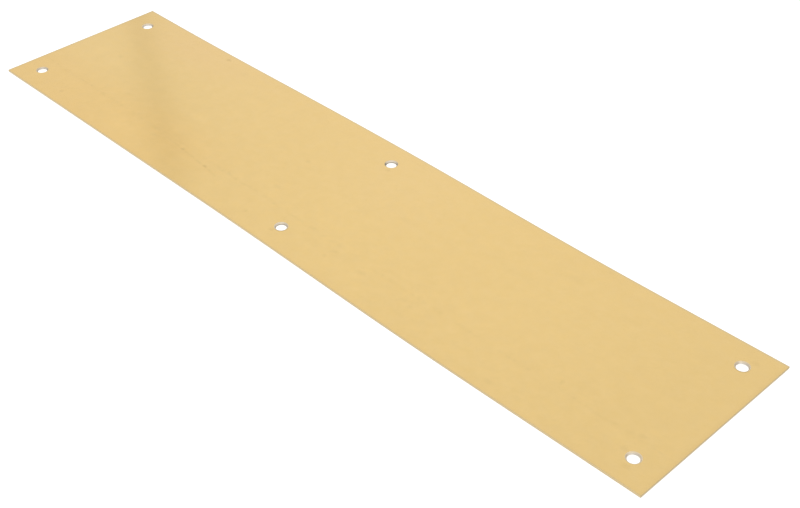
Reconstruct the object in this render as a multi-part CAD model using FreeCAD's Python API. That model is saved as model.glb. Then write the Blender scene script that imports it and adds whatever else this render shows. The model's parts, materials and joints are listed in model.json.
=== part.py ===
import FreeCAD, Part
import os

# Door finger plate: one rectangle of thin brass sheet, sheared square, with
# six round fixing holes through it, each lightly countersunk from the face. It
# lies on its back: the back face is on Z = 0 and the polished face looks up.
# The length runs along X, the width along Y, and the origin is the middle of
# the back face.

INCH = 25.4

# ---- driving dimensions, in millimetres -----------------------------------
LENGTH = 12.0 * INCH           # along X
WIDTH = 2.75 * INCH            # along Y
THICKNESS = 0.8                # thin sheet
HOLE_DIAMETER = 9.0 / 64.0 * INCH      # bore of each fixing hole
SINK_DIAMETER = 4.65           # its countersink, across the face, at 90 degrees
HOLE_INSET = 0.375 * INCH      # hole centre to each edge, the same both ways
CORNER_RADIUS = 0.15           # the sheared corners are only just eased
FACE_ARRIS = 0.1               # roll-over of the sheet along its face edges
BACK_BREAK = 0.06              # light edge break of each hole, on the back

# ---- positions that follow from them --------------------------------------
HOLE_X = LENGTH / 2.0 - HOLE_INSET     # half the pitch of the end holes
HOLE_Y = WIDTH / 2.0 - HOLE_INSET      # half the pitch across the plate
HOLE_RADIUS = HOLE_DIAMETER / 2.0
SINK_DEPTH = (SINK_DIAMETER - HOLE_DIAMETER) / 2.0
HOLES = [(x, y) for x in (-HOLE_X, 0.0, HOLE_X) for y in (-HOLE_Y, HOLE_Y)]


def blank():
    """The sheared rectangle, with eased corners and a rolled face edge."""
    sheet = Part.makeBox(
        LENGTH, WIDTH, THICKNESS,
        FreeCAD.Vector(-LENGTH / 2.0, -WIDTH / 2.0, 0.0))
    upright = [e for e in sheet.Edges
               if abs(e.Vertexes[0].Z - e.Vertexes[1].Z) > 1e-6]
    sheet = sheet.makeFillet(CORNER_RADIUS, upright)
    face_rim = [e for e in sheet.Edges
                if all(abs(v.Z - THICKNESS) < 1e-6 for v in e.Vertexes)]
    return sheet.makeFillet(FACE_ARRIS, face_rim)


def punch(x, y):
    """The tool for one hole: a short straight wall under the countersink.

    It is one turned profile, so that the hole is a single clean cut.
    """
    r = HOLE_RADIUS
    over = 0.5                         # how far the tool runs past each face
    top, low = THICKNESS, 0.0
    profile = [
        (0.0, low - over),
        (r + BACK_BREAK + over, low - over),
        (r, low + BACK_BREAK),
        (r, top - SINK_DEPTH),
        (r + SINK_DEPTH + over, top + over),
        (0.0, top + over),
    ]
    points = [FreeCAD.Vector(x + px, y, pz) for px, pz in profile]
    wire = Part.makePolygon(points + [points[0]])
    return Part.Face(wire).revolve(
        FreeCAD.Vector(x, y, 0.0), FreeCAD.Vector(0, 0, 1), 360.0)


def finger_plate():
    plate = blank()
    for x, y in HOLES:
        plate = plate.cut(punch(x, y))
    plate = plate.removeSplitter()
    return plate


os.makedirs("parts", exist_ok=True)

plate = finger_plate()
solid = plate.Solids[0]
assert len(plate.Solids) == 1 and solid.isValid()
solid.exportStep("parts/finger_plate.step")

box = solid.BoundBox
print("finger_plate  %.2f x %.2f x %.2f mm, volume %.1f mm3, %d faces"
      % (box.XLength, box.YLength, box.ZLength, solid.Volume, len(solid.Faces)))
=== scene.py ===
import json
import math

import bpy
import numpy as np
from mathutils import Matrix, Vector


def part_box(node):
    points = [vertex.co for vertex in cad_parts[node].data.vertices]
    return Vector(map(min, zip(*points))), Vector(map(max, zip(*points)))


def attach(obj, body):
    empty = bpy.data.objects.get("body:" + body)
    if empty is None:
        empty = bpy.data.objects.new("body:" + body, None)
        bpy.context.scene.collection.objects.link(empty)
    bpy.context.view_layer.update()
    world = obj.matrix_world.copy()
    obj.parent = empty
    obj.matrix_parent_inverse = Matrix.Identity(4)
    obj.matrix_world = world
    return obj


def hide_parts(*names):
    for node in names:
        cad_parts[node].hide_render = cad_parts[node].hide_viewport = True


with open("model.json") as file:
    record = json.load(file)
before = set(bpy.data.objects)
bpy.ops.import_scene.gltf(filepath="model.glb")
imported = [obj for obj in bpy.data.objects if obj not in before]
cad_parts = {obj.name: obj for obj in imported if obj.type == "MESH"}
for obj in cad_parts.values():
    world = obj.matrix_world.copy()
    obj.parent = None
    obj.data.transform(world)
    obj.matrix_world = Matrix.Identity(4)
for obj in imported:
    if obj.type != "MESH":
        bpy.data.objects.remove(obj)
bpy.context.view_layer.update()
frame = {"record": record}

MM = 0.001

# --------------------------------------------------------------------------
# sizes, read from the frame: everything below is in millimetres
# --------------------------------------------------------------------------
low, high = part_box("finger_plate")
LENGTH = (high.x - low.x) / MM
WIDTH = (high.y - low.y) / MM
THICK = (high.z - low.z) / MM
mounts = {m["name"]: m for m in frame["record"]["mounts"]}
HOLE_X = mounts["corner_holes"]["dims"]["spacing_x_mm"] / 2.0
HOLE_Y = mounts["corner_holes"]["dims"]["spacing_y_mm"] / 2.0
HOLE_R = mounts["corner_holes"]["dims"]["hole_r_mm"]
HOLES = [(x, y) for x in (-HOLE_X, 0.0, HOLE_X) for y in (-HOLE_Y, HOLE_Y)]

CORNER_R = 0.15     # eased corner of the sheared outline, in plan
ROLL_W = 0.12       # roll-over where the shear entered the face: its width
ROLL_D = 0.09       # and its depth
SINK_W = 0.590      # each hole's rim, from the flat face in to the bore
BURR = 0.05         # small broken edge on the back

# --------------------------------------------------------------------------
# the thin sheet isn't dead flat: it lies on three points and bows by up to a
# millimetre between them. Each long edge is a short series of half waves.
# --------------------------------------------------------------------------
BOW_LEFT = (-0.3209, 0.4913, -0.1773, -0.0507, 0.0803, -0.0081)    # y = -WIDTH/2
BOW_RIGHT = (0.1740, 0.2729, -0.3974, -0.0709, 0.0287, -0.0417)   # y = +WIDTH/2
REST_PLANE = (-0.5960930, -0.00163185, 0.00605145)                # what it lies on


def bow(x, y):
    """Height of the sheet's back above the floor, and its two slopes."""
    s = np.clip(x / LENGTH + 0.5, 0.0, 1.0)
    u = y / WIDTH + 0.5
    zl = zr = dl = dr = 0.0
    for k, (a, b) in enumerate(zip(BOW_LEFT, BOW_RIGHT), 1):
        w = k * math.pi
        zl = zl + a * np.sin(w * s)
        zr = zr + b * np.sin(w * s)
        dl = dl + a * w / LENGTH * np.cos(w * s)
        dr = dr + b * w / LENGTH * np.cos(w * s)
    c0, cx, cy = REST_PLANE
    z = zl * (1 - u) + zr * u - (c0 + cx * x + cy * y)
    zx = dl * (1 - u) + dr * u - cx
    zy = (zr - zl) / WIDTH - cy
    return z, zx, zy


# --------------------------------------------------------------------------
# mesh of the plate
# --------------------------------------------------------------------------
class Sheet:
    """Collects vertices with their own normals, and faces with a material."""

    def __init__(self):
        self.co, self.no, self.faces, self.mat = [], [], [], []

    def add(self, x, y, z, nx, ny, nz):
        self.co.append((x, y, z))
        self.no.append((nx, ny, nz))
        return len(self.co) - 1

    def face(self, ids, mat, flip=False):
        self.faces.append(tuple(reversed(ids)) if flip else tuple(ids))
        self.mat.append(mat)

    def strip(self, a, b, mat, flip=False):
        """Quads between two closed rings of the same length."""
        n = len(a)
        for i in range(n):
            j = (i + 1) % n
            self.face((a[i], b[i], b[j], a[j]), mat, flip)


FACE, SHEAR, BREAK, SINK, BORE, BACK = range(6)


def steps(stops, counts):
    out = [stops[0]]
    for a, b, n in zip(stops[:-1], stops[1:], counts):
        out += [a + (b - a) * (i + 1) / n for i in range(n)]
    return out


BLOCK = 8.0         # half side of the square patch round each hole
N_BLOCK = 16        # cells along a side of that patch


def sheet_side(m, inset, corner, rim, z, nz, mat):
    """One flat side of the plate: a grid with a round opening at each hole.

    Returns the ring of the outline and the ring of each hole, both running
    counter-clockwise seen from above.
    """
    ex, ey = LENGTH / 2 - inset, WIDTH / 2 - inset
    xs = steps((-ex, -HOLE_X - BLOCK, -HOLE_X + BLOCK, -BLOCK, BLOCK,
                HOLE_X - BLOCK, HOLE_X + BLOCK, ex),
               (2, N_BLOCK, 56, N_BLOCK, 56, N_BLOCK, 2))
    ys = steps((-ey, -HOLE_Y - BLOCK, -HOLE_Y + BLOCK, HOLE_Y - BLOCK,
                HOLE_Y + BLOCK, ey),
               (2, N_BLOCK, 18, N_BLOCK, 2))
    nx, ny = len(xs), len(ys)
    start_x = (2, 2 + N_BLOCK + 56, 2 + 2 * N_BLOCK + 112)
    start_y = (2, 2 + N_BLOCK + 18)
    flip = nz < 0
    inside = np.zeros((nx, ny), bool)           # grid points that a hole takes
    taken = np.zeros((nx - 1, ny - 1), bool)    # cells that a hole patch takes
    for sx in start_x:
        for sy in start_y:
            inside[sx + 1:sx + N_BLOCK, sy + 1:sy + N_BLOCK] = True
            taken[sx:sx + N_BLOCK, sy:sy + N_BLOCK] = True
    corners = {(0, 0), (nx - 1, 0), (nx - 1, ny - 1), (0, ny - 1)}
    gid = -np.ones((nx, ny), int)
    for i in range(nx):
        for j in range(ny):
            if not inside[i, j] and (i, j) not in corners:
                gid[i, j] = m.add(xs[i], ys[j], z, 0, 0, nz)
    # eased corners: a short arc in place of the grid's corner point
    arcs = {}
    n_arc = 5
    for (i, j), a0 in (((0, 0), 180.0), ((nx - 1, 0), 270.0),
                       ((nx - 1, ny - 1), 0.0), ((0, ny - 1), 90.0)):
        cx = xs[i] - math.copysign(corner, xs[i])
        cy = ys[j] - math.copysign(corner, ys[j])
        arcs[i, j] = [m.add(cx + corner * math.cos(math.radians(a0 + 90.0 * k / n_arc)),
                            cy + corner * math.sin(math.radians(a0 + 90.0 * k / n_arc)),
                            z, 0, 0, nz) for k in range(n_arc + 1)]
    for i in range(nx - 1):
        for j in range(ny - 1):
            if taken[i, j]:
                continue
            ids = []
            for p in ((i, j), (i + 1, j), (i + 1, j + 1), (i, j + 1)):
                ids += arcs[p] if p in arcs else [int(gid[p])]
            m.face(ids, mat, flip)
    # the outline, counter-clockwise
    outline = list(arcs[0, 0])
    outline += [int(gid[i, 0]) for i in range(1, nx - 1)]
    outline += arcs[nx - 1, 0]
    outline += [int(gid[nx - 1, j]) for j in range(1, ny - 1)]
    outline += arcs[nx - 1, ny - 1]
    outline += [int(gid[i, ny - 1]) for i in range(nx - 2, 0, -1)]
    outline += arcs[0, ny - 1]
    outline += [int(gid[0, j]) for j in range(ny - 2, 0, -1)]
    # each hole: rings that go from the square patch to the circle
    holes = []
    blend = (0.0, 0.16, 0.33, 0.50, 0.65, 0.78, 0.88, 0.95, 1.0)
    for hi, (hx, hy) in enumerate(HOLES):
        sx, sy = start_x[hi // 2], start_y[hi % 2]
        square = [(sx + k, sy) for k in range(N_BLOCK)]
        square += [(sx + N_BLOCK, sy + k) for k in range(N_BLOCK)]
        square += [(sx + N_BLOCK - k, sy + N_BLOCK) for k in range(N_BLOCK)]
        square += [(sx, sy + N_BLOCK - k) for k in range(N_BLOCK)]
        n = len(square)
        ring = [int(gid[p]) for p in square]
        for t in blend[1:]:
            new = []
            for k, p in enumerate(square):
                a = math.radians(225.0 + 360.0 * k / n)
                qx, qy = hx + rim * math.cos(a), hy + rim * math.sin(a)
                new.append(m.add(xs[p[0]] + (qx - xs[p[0]]) * t,
                                 ys[p[1]] + (qy - ys[p[1]]) * t, z, 0, 0, nz))
            m.strip(ring, new, mat, not flip)
            ring = new
        holes.append(ring)
    return outline, holes


def outward(m, ring):
    """Unit normals, in plan, of a closed counter-clockwise ring of vertices."""
    p = np.array([m.co[i][:2] for i in ring])
    t = np.roll(p, -1, 0) - np.roll(p, 1, 0)
    n = np.c_[t[:, 1], -t[:, 0]]
    # straight runs and arcs of the eased outline have exact normals
    ex, ey = np.abs(p).max(0)
    for i, (x, y) in enumerate(p):
        on_x, on_y = ex - abs(x) < 1e-6, ey - abs(y) < 1e-6
        if on_x and not on_y:
            n[i] = (math.copysign(1, x), 0)
        elif on_y and not on_x:
            n[i] = (0, math.copysign(1, y))
    return n / np.linalg.norm(n, axis=1)[:, None]


def rings(m, ring, normals, profile, mats, last, flip):
    """Sweeps a profile round a ring. profile rows are (out, z, n_out, n_z)."""
    base = [m.co[i] for i in ring]
    prev = ring
    for row, mat in zip(profile, mats):
        if row is None:
            new = last
        else:
            out, z, no, nz = row
            new = [m.add(b[0] + n[0] * out, b[1] + n[1] * out, z,
                         n[0] * no, n[1] * no, nz)
                   for b, n in zip(base, normals)]
        m.strip(prev, new, mat, flip)
        prev = new


def plate_mesh():
    m = Sheet()
    t = THICK
    top, top_holes = sheet_side(m, ROLL_W, CORNER_R - ROLL_W, HOLE_R + SINK_W, t, 1, FACE)
    low_, low_holes = sheet_side(m, BURR, CORNER_R - BURR, HOLE_R + BURR, 0.0, -1, BACK)

    # the sheared outline: rolled over at the face, a bright burnished band,
    # then the break, which leans in a little towards the back
    prof, mats = [], []
    for a in (18.0, 36.0, 54.0, 72.0, 90.0):
        c, d = math.cos(math.radians(a)), math.sin(math.radians(a))
        nx, nz = d / ROLL_W, c / ROLL_D
        n = math.hypot(nx, nz)
        prof.append((ROLL_W * d, t - ROLL_D * (1 - c), nx / n, nz / n))
        mats.append(SHEAR)
    prof += [(ROLL_W, t * 0.46, 1.0, 0.0),
             (ROLL_W - 0.010, t * 0.40, 0.99, -0.10),
             (ROLL_W - 0.035, BURR + 0.02, 0.99, -0.12),
             (ROLL_W - 0.050, BURR * 0.5, 0.71, -0.71),
             None]
    mats += [SHEAR, BREAK, BREAK, BREAK, BREAK]
    n_top = outward(m, top)
    rings(m, top, n_top, prof, mats, low_, False)

    # the holes: a worn, rounded lip, the light countersink, and the short
    # straight bore under it
    tilt, lip, foot = math.radians(48.0), 0.42, 0.12
    slope = (SINK_W - lip * math.sin(tilt) - foot * (1 - math.sin(tilt))) / math.cos(tilt)
    prof, mats = [], []
    for a in (8.0, 16.0, 24.0, 32.0, 40.0, 48.0):
        a = math.radians(a)
        prof.append((lip * math.sin(a), t - lip * (1 - math.cos(a)), math.sin(a), math.cos(a)))
        mats.append(SINK)
    out, z = prof[-1][:2]
    out, z = out + slope * math.cos(tilt), z - slope * math.sin(tilt)
    half = [(p + q) / 2 for p, q in zip(prof[-1][:2], (out, z))]
    prof += [(half[0], half[1], math.sin(tilt), math.cos(tilt)),
             (out, z, math.sin(tilt), math.cos(tilt))]
    mats += [SINK, SINK]
    cone = len(mats) - 1                # in the corner holes its lower half takes the bore's material
    for a in (58.0, 68.0, 79.0, 90.0):
        a = math.radians(a)
        prof.append((out + foot * (math.sin(a) - math.sin(tilt)),
                     z - foot * (math.cos(tilt) - math.cos(a)), math.sin(a), math.cos(a)))
        mats.append(SINK if a < 1.1 else BORE)
    prof += [(SINK_W, BURR + 0.03, 1.0, 0.0),
             (SINK_W - 0.015, BURR * 0.4, 0.71, -0.71),
             None]
    mats += [BORE, BORE, BORE]
    for (hx, hy), a_ring, b_ring in zip(HOLES, top_holes, low_holes):
        own = mats if hx == 0.0 else mats[:cone] + [BORE] * (len(mats) - cone)
        c = np.array([m.co[i][:2] for i in a_ring])
        inwards = c.mean(0) - c
        inwards /= np.linalg.norm(inwards, axis=1)[:, None]
        rings(m, a_ring, inwards, prof, own, b_ring, True)

    co, no = np.array(m.co, float), np.array(m.no, float)
    z, zx, zy = bow(co[:, 0], co[:, 1])
    # the bow lifts every point and turns its normal by the slope of the sheet
    tilt = np.c_[-zx, -zy, np.ones(len(co))]
    no = no + np.abs(no[:, 2:3]) * np.sign(no[:, 2:3]) * np.c_[tilt[:, :2], np.zeros(len(co))]
    no /= np.linalg.norm(no, axis=1)[:, None]
    co[:, 2] += z

    me = bpy.data.meshes.new("finger_plate_brass")
    me.from_pydata((co * MM).tolist(), [], m.faces)
    me.update()
    me.polygons.foreach_set("material_index", m.mat)
    me.polygons.foreach_set("use_smooth", [True] * len(m.faces))
    me.normals_split_custom_set_from_vertices([tuple(v) for v in no])
    me.update()
    return me


# --------------------------------------------------------------------------
# small helpers for node trees
# --------------------------------------------------------------------------
class Nodes:
    def __init__(self, tree):
        self.tree, self.n = tree, tree.nodes
        self.n.clear()

    def new(self, kind, **values):
        node = self.n.new(kind)
        for k, v in values.items():
            setattr(node, k, v)
        return node

    def put(self, socket, value):
        if isinstance(value, bpy.types.NodeSocket):
            self.tree.links.new(value, socket)
        else:
            socket.default_value = value

    def math(self, op, a, b=None, c=None, clamp=False):
        node = self.new("ShaderNodeMath", operation=op, use_clamp=clamp)
        for s, v in zip(node.inputs, (a, b, c)):
            if v is not None:
                self.put(s, v)
        return node.outputs[0]

    def vec(self, op, a, b=None, scale=None):
        node = self.new("ShaderNodeVectorMath", operation=op)
        self.put(node.inputs[0], a)
        if b is not None:
            self.put(node.inputs[1], b)
        if scale is not None:
            self.put(node.inputs["Scale"], scale)
        return node.outputs["Value"] if op in ("LENGTH", "DISTANCE", "DOT_PRODUCT") else node.outputs[0]

    def ramp(self, value, a, b, lo=0.0, hi=1.0, smooth=True):
        node = self.new("ShaderNodeMapRange", clamp=True,
                        interpolation_type="SMOOTHSTEP" if smooth else "LINEAR")
        for s, v in zip(node.inputs, (value, a, b, lo, hi)):
            self.put(s, v)
        return node.outputs[0]

    def noise(self, vector, scale, detail=2.0, rough=0.5, distort=0.0):
        node = self.new("ShaderNodeTexNoise", noise_dimensions="3D")
        self.put(node.inputs["Vector"], vector)
        self.put(node.inputs["Scale"], scale)
        self.put(node.inputs["Detail"], detail)
        self.put(node.inputs["Roughness"], rough)
        self.put(node.inputs["Distortion"], distort)
        return node.outputs[0]

    def mix(self, fac, a, b, blend="MIX"):
        node = self.new("ShaderNodeMix", data_type="RGBA", blend_type=blend)
        self.put(node.inputs[0], fac)
        self.put(node.inputs[6], a)
        self.put(node.inputs[7], b)
        return node.outputs[2]

    def join(self, x, y, z):
        node = self.new("ShaderNodeCombineXYZ")
        for s, v in zip(node.inputs, (x, y, z)):
            self.put(s, v)
        return node.outputs[0]

    def split(self, v):
        node = self.new("ShaderNodeSeparateXYZ")
        self.put(node.inputs[0], v)
        return node.outputs

    def bump(self, height, strength, distance):
        node = self.new("ShaderNodeBump")
        self.put(node.inputs["Strength"], strength)
        self.put(node.inputs["Distance"], distance)
        self.put(node.inputs["Height"], height)
        return node.outputs[0]


def new_material(name):
    mat = bpy.data.materials.new(name)
    mat.use_nodes = True
    k = Nodes(mat.node_tree)
    shader = k.new("ShaderNodeBsdfPrincipled")
    out = k.new("ShaderNodeOutputMaterial")
    mat.node_tree.links.new(shader.outputs[0], out.inputs[0])
    place = k.new("ShaderNodeTexCoord").outputs["Object"]
    mm = k.vec("SCALE", place, scale=1.0 / MM)
    return mat, k, shader, mm


def stretch(k, mm, sx, sy, sz):
    return k.vec("MULTIPLY", mm, (sx, sy, sz))


BRASS = (0.826, 0.592, 0.252)

# marks that handling has left on the face: (x, y, half length, half width,
# how much darker), in millimetres and as a share
DULL_SPOTS = (
    (-127.0, 12.0, 2.4, 1.6, 0.017), (-130.0, 3.0, 1.6, 1.2, 0.026),
    (-104.0, -12.0, 2.4, 1.5, 0.011), (-98.4, -12.6, 1.5, 1.0, 0.010),
    (-74.0, -22.2, 1.7, 1.2, 0.036), (-123.7, -29.0, 1.4, 1.0, 0.072),
    (-97.4, 31.6, 1.6, 1.0, 0.105), (-84.0, 28.7, 2.6, 2.0, 0.020),
    (-66.0, 21.5, 3.0, 1.8, 0.014), (-59.1, -20.5, 1.1, 0.8, 0.095),
    (-45.1, -21.7, 1.1, 0.8, 0.105), (-17.4, -11.7, 2.6, 1.4, 0.032),
    (-14.9, -28.4, 1.2, 1.0, 0.034), (-21.6, 5.8, 1.4, 1.0, 0.036),
    (1.8, 22.1, 1.3, 1.0, 0.060), (-1.1, -28.9, 1.3, 1.0, 0.060),
    (-2.5, -21.6, 2.4, 1.2, 0.016), (11.8, -0.1, 3.4, 2.4, 0.015),
    (26.0, 6.2, 2.2, 1.5, 0.012), (21.0, -25.5, 1.0, 0.8, 0.036),
    (22.0, -21.7, 1.6, 1.2, 0.030), (35.1, -23.0, 2.2, 1.4, 0.026),
    (46.0, 29.0, 2.6, 1.8, 0.010), (57.5, -23.6, 1.4, 1.0, 0.028),
    (53.6, -22.6, 1.8, 0.9, 0.020), (85.1, 22.8, 4.4, 1.9, 0.020),
    (90.2, 32.9, 1.5, 0.8, 0.040), (96.0, -30.9, 2.2, 1.1, 0.022),
    (106.5, -30.2, 2.0, 0.9, 0.020), (111.0, -16.3, 1.2, 1.0, 0.032),
    (144.9, 28.9, 1.6, 1.1, 0.060), (140.0, -17.4, 1.6, 1.2, 0.028),
    (139.3, -24.4, 1.5, 1.2, 0.050), (143.4, -29.3, 1.6, 1.1, 0.050),
)
BRIGHT_PATCHES = (
    (-71.0, -3.4, 5.0, 3.0, 0.014), (-54.0, -15.0, 7.0, 2.6, 0.018),
    (-128.0, -1.5, 9.0, 3.0, 0.012), (-140.0, 0.5, 5.0, 5.0, 0.010),
    (82.6, 18.3, 6.0, 2.2, 0.005), (104.7, -13.8, 3.6, 2.6, 0.012),
    (-60.0, -18.4, 6.0, 1.2, 0.010), (-56.0, -23.2, 9.0, 1.4, 0.010),
    (-87.0, -27.6, 15.0, 6.0, 0.020), (32.0, -28.0, 20.0, 6.0, 0.014),
    (-38.0, -28.0, 10.0, 5.0, 0.010),
)


LINE_GAPS = ((-93.0, 6.0), (-53.0, 9.0), (-6.0, 4.0), (31.0, 10.0), (85.0, 5.0), (108.0, 6.0))


def spots(k, mm, rows):
    """Soft round or long spots, added together."""
    total = 0.0
    for x, y, a, b, depth in rows:
        d = k.vec("MULTIPLY", k.vec("SUBTRACT", mm, (x, y, 0.0)), (1.0 / a, 1.0 / b, 0.0))
        soft = k.ramp(k.vec("LENGTH", d), 1.25, 0.15)
        total = k.math("MULTIPLY_ADD", soft, depth, total)
    return total


def bell(k, value, width):
    q = k.math("DIVIDE", value, width)
    return k.math("EXPONENT", k.math("MULTIPLY", k.math("MULTIPLY", q, q), -1.0))


def face_material():
    """Semi-polished sheet brass, with what handling has left on it, and painted shade along its edges and beside two
    hole rims.
    """
    mat, k, shader, mm = new_material("brass_face")
    x, y, z = k.split(mm)

    # slow changes of tone over the sheet, down to a fine mottle
    cloud = k.noise(stretch(k, mm, 0.6, 1.0, 0.0), 0.030, 2.0, 0.5)
    mottle = k.noise(stretch(k, mm, 0.8, 1.0, 0.0), 0.20, 3.0, 0.6)
    # rolling and polishing lines along the length
    lines = k.noise(stretch(k, mm, 0.010, 1.6, 0.0), 1.0, 3.0, 0.6)
    fine = k.noise(stretch(k, mm, 0.05, 9.0, 0.0), 1.0, 2.0, 0.6)

    # the sheet is a little redder along one side, towards one end, and paler
    # about the middle of the other
    side = k.ramp(k.math("MULTIPLY_ADD", cloud, 10.0, y), 6.0, -18.0)
    redder = k.math("MULTIPLY", side, k.ramp(k.math("MULTIPLY_ADD", cloud, 30.0, x), -15.0, -55.0))
    colour = k.mix(redder, BRASS + (1,), (0.830, 0.577, 0.233, 1))
    paler = k.math("MULTIPLY", bell(k, k.math("SUBTRACT", x, 12.0), 22.0), k.ramp(y, -8.0, 10.0))
    colour = k.mix(k.math("MULTIPLY", paler, 0.8), colour, (0.826, 0.594, 0.263, 1))
    paler = k.math("MULTIPLY", bell(k, k.math("ADD", x, 112.0), 30.0), k.ramp(y, 8.0, 26.0))
    colour = k.mix(k.math("MULTIPLY", paler, 0.8), colour, (0.833, 0.588, 0.263, 1))

    # one long line drawn nearly end to end, broken and blotched
    wave = k.noise(stretch(k, mm, 0.045, 0.0, 0.0), 1.0, 2.0, 0.5)
    path = k.math("MULTIPLY_ADD", k.math("SUBTRACT", wave, 0.5), 0.5, k.math("ADD", y, 18.75))
    path = k.math("MULTIPLY_ADD", x, 0.0008, path)
    blot = k.noise(stretch(k, mm, 0.30, 0.7, 0.0), 1.0, 3.0, 0.65)
    line = k.math("MULTIPLY", bell(k, path, 0.72), k.ramp(blot, 0.36, 0.66, 0.05, 1.7))
    dash = k.noise(stretch(k, mm, 0.42, 0.0, 0.0), 1.0, 2.0, 0.6)
    line = k.math("MULTIPLY", line, k.ramp(dash, 0.38, 0.60, 0.35, 1.5))
    line = k.math("MULTIPLY", line, k.ramp(x, -150.0, 150.0, 1.65, 0.85, smooth=False))
    for gap, half in LINE_GAPS:
        line = k.math("MULTIPLY", line, k.math("MULTIPLY_ADD", bell(k, k.math("SUBTRACT", x, gap), half), -0.75, 1.0))
    wear_and_shade = k.math("MULTIPLY", line, 0.0145)

    # a shorter scratch that runs off it, with a nick or two
    t = k.math("ADD", x, 77.4)
    run = k.math("MULTIPLY_ADD", k.math("MULTIPLY_ADD", t, 0.00072, 0.060), t, k.math("ADD", y, 19.2))
    scratch = k.math("MULTIPLY", bell(k, run, 0.42),
                     k.math("MULTIPLY", k.ramp(x, -80.0, -74.0), k.ramp(x, -36.0, -42.0)))
    scratch = k.math("MULTIPLY", scratch, k.ramp(dash, 0.40, 0.56, 0.25, 1.35))
    wear_and_shade = k.math("MULTIPLY_ADD", scratch, 0.030, wear_and_shade)

    # dull spots and rubbed patches, with ragged outlines
    ragged = k.new("ShaderNodeTexNoise", noise_dimensions="3D")
    k.put(ragged.inputs["Vector"], mm)
    k.put(ragged.inputs["Scale"], 0.7)
    shift = k.vec("MULTIPLY_ADD", ragged.outputs["Color"], (1.6, 1.6, 0.0))
    k.put(shift.node.inputs[2], k.vec("ADD", mm, (-0.8, -0.8, 0.0)))
    dull = spots(k, shift, DULL_SPOTS)
    bright = spots(k, shift, BRIGHT_PATCHES)
    wear_and_shade = k.math("ADD", wear_and_shade, dull)

    # the rim of two holes is darker and rougher along one side: the darkening is painted shade on the side of the lip
    # that tilts away from the light
    for hx, hy, tx, ty, depth in ((0.0, -HOLE_Y, 0.78, -0.62, 0.17),
                                  (HOLE_X, HOLE_Y, 0.43, -0.90, 0.14)):
        off = k.vec("MULTIPLY", k.vec("SUBTRACT", mm, (hx, hy, 0.0)), (1.0, 1.0, 0.0))
        rim = bell(k, k.math("SUBTRACT", k.vec("LENGTH", off), HOLE_R + SINK_W + 0.05), 0.26)
        near = k.ramp(k.vec("DOT_PRODUCT", off, (tx, ty, 0.0)), 0.4, 1.9)
        wear_and_shade = k.math("MULTIPLY_ADD", k.math("MULTIPLY", rim, near), depth, wear_and_shade)

    # the face is darker and rougher in a strip along the edges, widest at either end: the darkening is painted shade,
    # where the shear has drawn the face down a little
    by_end = k.ramp(k.math("SUBTRACT", LENGTH / 2, k.math("ABSOLUTE", x)), 1.9, 0.1)
    by_side = k.ramp(k.math("SUBTRACT", WIDTH / 2, k.math("ABSOLUTE", y)), 1.0, 0.1)
    wear_and_shade = k.math("MULTIPLY_ADD", by_end, 0.030, wear_and_shade)
    wear_and_shade = k.math("MULTIPLY_ADD", by_side, 0.016, wear_and_shade)

    tone = k.math("MULTIPLY_ADD", k.math("SUBTRACT", cloud, 0.5), 0.022, 1.0)
    uneven = k.math("MULTIPLY", k.math("SUBTRACT", mottle, 0.5), k.ramp(y, -6.0, -16.0, 1.0, 1.4))
    tone = k.math("MULTIPLY_ADD", uneven, 0.058, tone)
    grain = k.noise(stretch(k, mm, 0.9, 1.3, 0.0), 0.9, 2.0, 0.6)
    tone = k.math("MULTIPLY_ADD", k.math("SUBTRACT", grain, 0.5), 0.033, tone)
    tone = k.math("MULTIPLY_ADD", k.math("SUBTRACT", lines, 0.5), 0.018, tone)
    tone = k.math("ADD", k.math("SUBTRACT", tone, wear_and_shade), bright)
    colour = k.vec("SCALE", colour, scale=tone)
    # along two edges the polish is worn through to a greyer metal
    edge = k.math("MINIMUM", k.math("SUBTRACT", WIDTH / 2, y), k.math("ADD", LENGTH / 2, x))
    edge = k.ramp(k.math("MULTIPLY_ADD", grain, 0.3, edge), 1.25, 0.45)
    colour = k.mix(edge, colour, k.vec("MULTIPLY", colour, (0.900, 0.965, 1.200)))
    hue = k.math("SUBTRACT", k.noise(stretch(k, mm, 0.9, 1.0, 0.0), 0.33, 2.0, 0.6), 0.5)
    colour = k.vec("MULTIPLY", colour, k.join(1.0, k.math("MULTIPLY_ADD", hue, 0.024, 1.0),
                                              k.math("MULTIPLY_ADD", hue, 0.140, 1.0)))

    k.put(shader.inputs["Base Color"], colour)
    shader.inputs["Metallic"].default_value = 1.0
    rough = k.math("MULTIPLY_ADD", lines, 0.020, 0.080)
    rough = k.math("MULTIPLY_ADD", mottle, 0.016, rough)
    rough = k.math("MULTIPLY_ADD", wear_and_shade, 1.2, rough)
    k.put(shader.inputs["Roughness"], rough)
    height = k.math("MULTIPLY_ADD", fine, 0.4, lines)
    k.put(shader.inputs["Normal"], k.bump(height, 0.02, 0.00002))
    return mat


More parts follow.
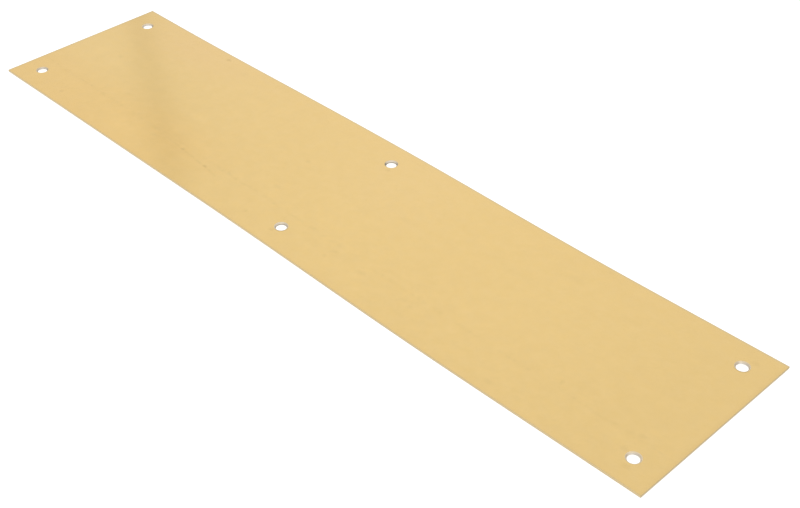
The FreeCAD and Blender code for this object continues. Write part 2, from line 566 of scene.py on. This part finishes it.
def cut_material(name, streaks, dark, light, rough, end_shade=1.0):
    """Metal left by the shear or the punch: duller, with short upright streaks."""
    mat, k, shader, mm = new_material(name)
    streak = k.noise(stretch(k, mm, streaks, streaks, 0.5), 1.0, 3.0, 0.6)
    colour = k.mix(k.ramp(streak, 0.3, 0.7), dark + (1,), light + (1,))
    # the two end faces are darkened by this factor: painted shade, as they turn to the light differently from the
    # long sides
    if end_shade != 1.0:
        x = k.math("ABSOLUTE", k.split(mm)[0])
        at_end = k.ramp(x, LENGTH / 2 - 0.35, LENGTH / 2 - 0.10)
        colour = k.vec("SCALE", colour, scale=k.math("MULTIPLY_ADD", at_end, end_shade - 1.0, 1.0))
    k.put(shader.inputs["Base Color"], colour)
    shader.inputs["Metallic"].default_value = 1.0
    k.put(shader.inputs["Roughness"], k.math("MULTIPLY_ADD", streak, 0.16, rough))
    k.put(shader.inputs["Normal"], k.bump(streak, 0.25, 0.00003))
    return mat


def shear_material():
    return cut_material("brass_sheared", 3.0, (0.580, 0.456, 0.256), (0.624, 0.492, 0.280), 0.26, 0.85)


def break_material():
    return cut_material("brass_broken", 5.0, (0.502, 0.392, 0.222), (0.560, 0.440, 0.250), 0.40, 0.84)


# painted shade and painted highlights on the hole walls, darker where the walls turn away from the light and lighter
# where they catch it:
# (x, y, half length, half width, how much darker)
HOLE_WALL_SHADE_AND_HIGHLIGHTS = (
    (-142.9, -25.4, 8.0, 8.0, 0.04), (-141.3, 27.0, 1.4, 1.4, 0.32),
    (-141.3, -23.8, 1.4, 1.4, 0.14), (-143.1, -23.4, 1.0, 1.0, 0.04),
    (-144.6, -26.0, 0.9, 0.9, 0.05),
    (-1.5, 23.8, 1.3, 1.3, 0.56), (1.5, 27.0, 1.4, 1.4, 0.30),
    (1.8, -26.9, 1.9, 1.9, 0.50), (0.0, -23.4, 1.1, 1.1, 0.08),
    (143.9, 23.2, 2.0, 2.0, 0.40), (140.8, 25.9, 0.8, 0.8, 0.08),
    (141.4, 26.6, 0.8, 0.8, -0.14), (143.3, 27.1, 0.9, 0.9, 0.06),
    (144.3, 26.2, 1.0, 1.0, -0.12),
    (141.0, -24.5, 1.2, 1.2, -0.13), (143.2, -23.5, 0.9, 0.9, 0.02),
    (144.3, -24.4, 0.9, 0.9, -0.18),
)


def hole_material(name, dark, light, in_middle, rough):
    """Punched and countersunk metal: pale and dull, other in the middle holes."""
    mat, k, shader, mm = new_material(name)
    streak = k.noise(stretch(k, mm, 3.0, 3.0, 0.5), 1.0, 3.0, 0.6)
    colour = k.mix(k.ramp(streak, 0.3, 0.7), dark + (1,), light + (1,))
    middle = k.ramp(k.math("ABSOLUTE", k.split(mm)[0]), 12.0, 10.0)
    colour = k.mix(middle, colour, in_middle + (1,))
    # painted shade and painted highlights in the holes, from the spots listed above
    colour = k.vec("SCALE", colour, scale=k.math("SUBTRACT", 1.0, spots(k, mm, HOLE_WALL_SHADE_AND_HIGHLIGHTS)))
    k.put(shader.inputs["Base Color"], colour)
    shader.inputs["Metallic"].default_value = 1.0
    k.put(shader.inputs["Roughness"], k.math("MULTIPLY_ADD", streak, 0.16, rough))
    k.put(shader.inputs["Normal"], k.bump(streak, 0.25, 0.00003))
    return mat


def sink_material():
    return hole_material("brass_countersunk", (0.63, 0.528, 0.380), (0.73, 0.612, 0.445),
                         (0.70, 0.610, 0.480), 0.26)


def bore_material():
    return hole_material("brass_punched", (0.60, 0.555, 0.495), (0.68, 0.630, 0.560),
                         (0.36, 0.325, 0.280), 0.38)


def back_material():
    """The unpolished back, as it came off the rolls."""
    mat, k, shader, mm = new_material("brass_back")
    lines = k.noise(stretch(k, mm, 0.02, 1.6, 1.0), 1.0, 4.0, 0.6)
    cloud = k.noise(mm, 0.04, 3.0, 0.55)
    colour = k.mix(k.ramp(cloud, 0.3, 0.7), (0.66, 0.49, 0.22, 1), (0.74, 0.54, 0.24, 1))
    k.put(shader.inputs["Base Color"], colour)
    shader.inputs["Metallic"].default_value = 1.0
    k.put(shader.inputs["Roughness"], k.math("MULTIPLY_ADD", lines, 0.14, 0.30))
    k.put(shader.inputs["Normal"], k.bump(lines, 0.12, 0.00003))
    return mat


plate = bpy.data.objects.new("finger_plate_brass", plate_mesh())
bpy.context.scene.collection.objects.link(plate)
for make in (face_material, shear_material, break_material, sink_material, bore_material,
             back_material):
    plate.data.materials.append(make())
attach(plate, "root")
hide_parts("finger_plate")


# --------------------------------------------------------------------------
# floor
# --------------------------------------------------------------------------
def make_floor():
    """A white light table: it glows a little, so nothing darkens beside the plate."""
    me = bpy.data.meshes.new("floor")
    s = 12.0
    me.from_pydata([(-s, -s, 0), (s, -s, 0), (s, s, 0), (-s, s, 0)], [], [(0, 1, 2, 3)])
    floor = bpy.data.objects.new("floor", me)
    bpy.context.scene.collection.objects.link(floor)
    mat = bpy.data.materials.new("white_floor")
    mat.use_nodes = True
    shader = mat.node_tree.nodes["Principled BSDF"]
    shader.inputs["Base Color"].default_value = (0.25, 0.25, 0.25, 1)
    shader.inputs["Roughness"].default_value = 1.0
    shader.inputs["Specular IOR Level"].default_value = 0.0
    shader.inputs["Emission Color"].default_value = (1.0, 1.0, 1.0, 1)
    shader.inputs["Emission Strength"].default_value = 1.0
    me.materials.append(mat)
    floor.location.z = -0.00002
    return floor


make_floor()


def make_backdrop():
    """A white sheet far behind, right round, so that no skyline shows.

    It stands outside the tent: the plate doesn't mirror it.
    """
    n, r, h = 72, 11.6, 3.4
    ring = [(r * math.cos(2 * math.pi * i / n), r * math.sin(2 * math.pi * i / n)) for i in range(n)]
    me = bpy.data.meshes.new("backdrop")
    me.from_pydata([(x, y, z) for z in (-0.05, h) for x, y in ring], [],
                   [(i, (i + 1) % n, n + (i + 1) % n, n + i) for i in range(n)])
    sheet = bpy.data.objects.new("backdrop", me)
    bpy.context.scene.collection.objects.link(sheet)
    mat = bpy.data.materials.new("white_backdrop")
    mat.use_nodes = True
    shader = mat.node_tree.nodes["Principled BSDF"]
    shader.inputs["Base Color"].default_value = (0.0, 0.0, 0.0, 1)
    shader.inputs["Specular IOR Level"].default_value = 0.0
    shader.inputs["Emission Color"].default_value = (1.0, 1.0, 1.0, 1)
    shader.inputs["Emission Strength"].default_value = 1.1
    me.materials.append(mat)
    sheet.visible_diffuse = sheet.visible_glossy = sheet.visible_shadow = False
    sheet.visible_transmission = sheet.visible_volume_scatter = False


make_backdrop()


# --------------------------------------------------------------------------
# studio light: a white tent with a soft panel on each side and a narrow seam
# between panels
# --------------------------------------------------------------------------
PANEL_AZ, PANEL_EL = 132.7, 37.2     # middle of a panel and its top, in degrees
SEAM_AZ = 146.95                     # where two panels meet
KEY_AZ = -42.0                       # the side the key light comes from


def make_world():
    world = bpy.data.worlds.new("tent")
    world.use_nodes = True
    bpy.context.scene.world = world
    k = Nodes(world.node_tree)
    x, y, z = k.split(k.new("ShaderNodeTexCoord").outputs["Generated"])
    az = k.math("DEGREES", k.math("ARCTAN2", y, x))
    el = k.math("DEGREES", k.math("ARCSINE", z))

    def fold(centre):
        """Degrees of azimuth from the nearest of four directions 90 apart."""
        return k.math("SUBTRACT", k.math("FLOORED_MODULO", k.math("ADD", az, 45.0 - centre), 90.0), 45.0)

    panel = k.math("MULTIPLY", bell(k, fold(PANEL_AZ), 16.0),
                   bell(k, k.math("MAXIMUM", k.math("SUBTRACT", el, PANEL_EL), 0.0), 6.1))
    light = k.math("MULTIPLY_ADD", panel, 0.074, 0.934)
    # the next panel is a touch brighter; the gap between them is narrow and a
    # little warm, and the cloth has two faint folds
    light = k.math("MULTIPLY_ADD", k.ramp(fold(SEAM_AZ + 20.0), -20.0, -18.5, 0.0, 0.010), k.ramp(fold(SEAM_AZ + 20.0), 40.0, 10.0), light)
    light = k.math("MULTIPLY", light, k.math("MULTIPLY_ADD", bell(k, fold(144.9), 0.8), -0.008, 1.0))
    light = k.math("MULTIPLY", light, k.math("MULTIPLY_ADD", bell(k, fold(140.2), 1.0), -0.008, 1.0))
    # a broad ring of light high up, and a key light
    key = k.math("SUBTRACT", k.math("FLOORED_MODULO", k.math("ADD", az, 180.0 - KEY_AZ), 360.0), 180.0)
    key = k.math("MULTIPLY", bell(k, key, 42.0), k.ramp(el, 31.0, 42.0))
    ring = k.math("MULTIPLY", k.ramp(el, 50.0, 66.0), k.ramp(el, 80.0, 68.0))
    high = k.math("MAXIMUM", k.math("MULTIPLY", key, k.ramp(el, 80.0, 68.0)), ring)
    light = k.math("MULTIPLY_ADD", high, 0.30, light)
    seam = bell(k, fold(SEAM_AZ), 0.62)
    shade = k.mix(seam, (1, 1, 1, 1), (0.885, 0.872, 0.825, 1))
    # the cloth's hem, down to the floor, is in its own shade and a little warm
    hem = k.mix(k.ramp(el, 2.0, 26.0), (0.80, 0.755, 0.645, 1), (1, 1, 1, 1))
    shade = k.mix(1.0, shade, hem, "MULTIPLY")
    back = k.new("ShaderNodeBackground")
    k.put(back.inputs["Color"], shade)
    k.put(back.inputs["Strength"], light)
    out = k.new("ShaderNodeOutputWorld")
    world.node_tree.links.new(back.outputs[0], out.inputs[0])


make_world()

# --------------------------------------------------------------------------
# camera at the photograph's place
# --------------------------------------------------------------------------
cam_data = bpy.data.cameras.new("camera")
cam_data.sensor_width = 36.0
cam_data.sensor_fit = "HORIZONTAL"
cam_data.lens = 58.8206
cam_data.shift_x = 0.05507
cam_data.shift_y = 0.0
cam_data.clip_start = 0.01
cam_data.clip_end = 100.0
camera = bpy.data.objects.new("camera", cam_data)
right = Vector((0.687271, 0.726233, -0.015631))
up = Vector((-0.442330, 0.435474, 0.784032))
back = Vector((0.576197, -0.531929, 0.620523))
turn = Matrix((right, up, back)).transposed()
camera.matrix_world = Matrix.Translation(Vector((268.0771, -239.7424, 260.2841)) * MM) @ turn.to_4x4()
bpy.context.scene.collection.objects.link(camera)
bpy.context.scene.camera = camera

bpy.context.scene.view_settings.view_transform = "Standard"
bpy.context.scene.view_settings.look = "None"
